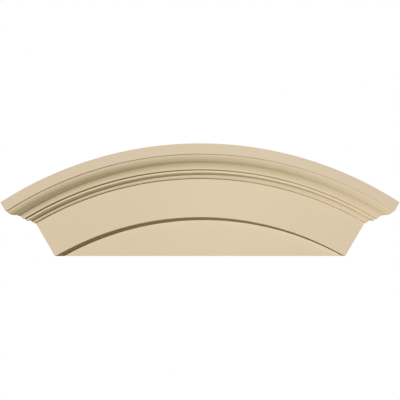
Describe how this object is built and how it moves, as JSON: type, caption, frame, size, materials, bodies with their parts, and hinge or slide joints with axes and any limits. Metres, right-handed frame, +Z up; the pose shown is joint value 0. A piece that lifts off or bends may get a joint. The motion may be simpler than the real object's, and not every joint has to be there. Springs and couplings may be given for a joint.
{
  "type": "segmental pediment",
  "caption": "Moulded segmental pediment: curved cyma crown with mitred returns over a plain frieze band and recessed tympanum, flat foot and back, fixed to a wall over a door or window.",
  "frame": {"origin": "on the flat back, on the centre line, half way between the foot and the top of the arc", "axes": "+Z up, +Y out of the back into the wall, so the face looks along -Y, +X to the right as seen from the front"},
  "size_m": [1.5236, 0.1046, 0.435],
  "materials": {
    "primed_urethane": "moulded polyurethane foam with a smooth tan factory primer, matt to eggshell"
  },
  "bodies": {
    "root": {"pediment": "primed_urethane"}
  },
  "joints": []
}
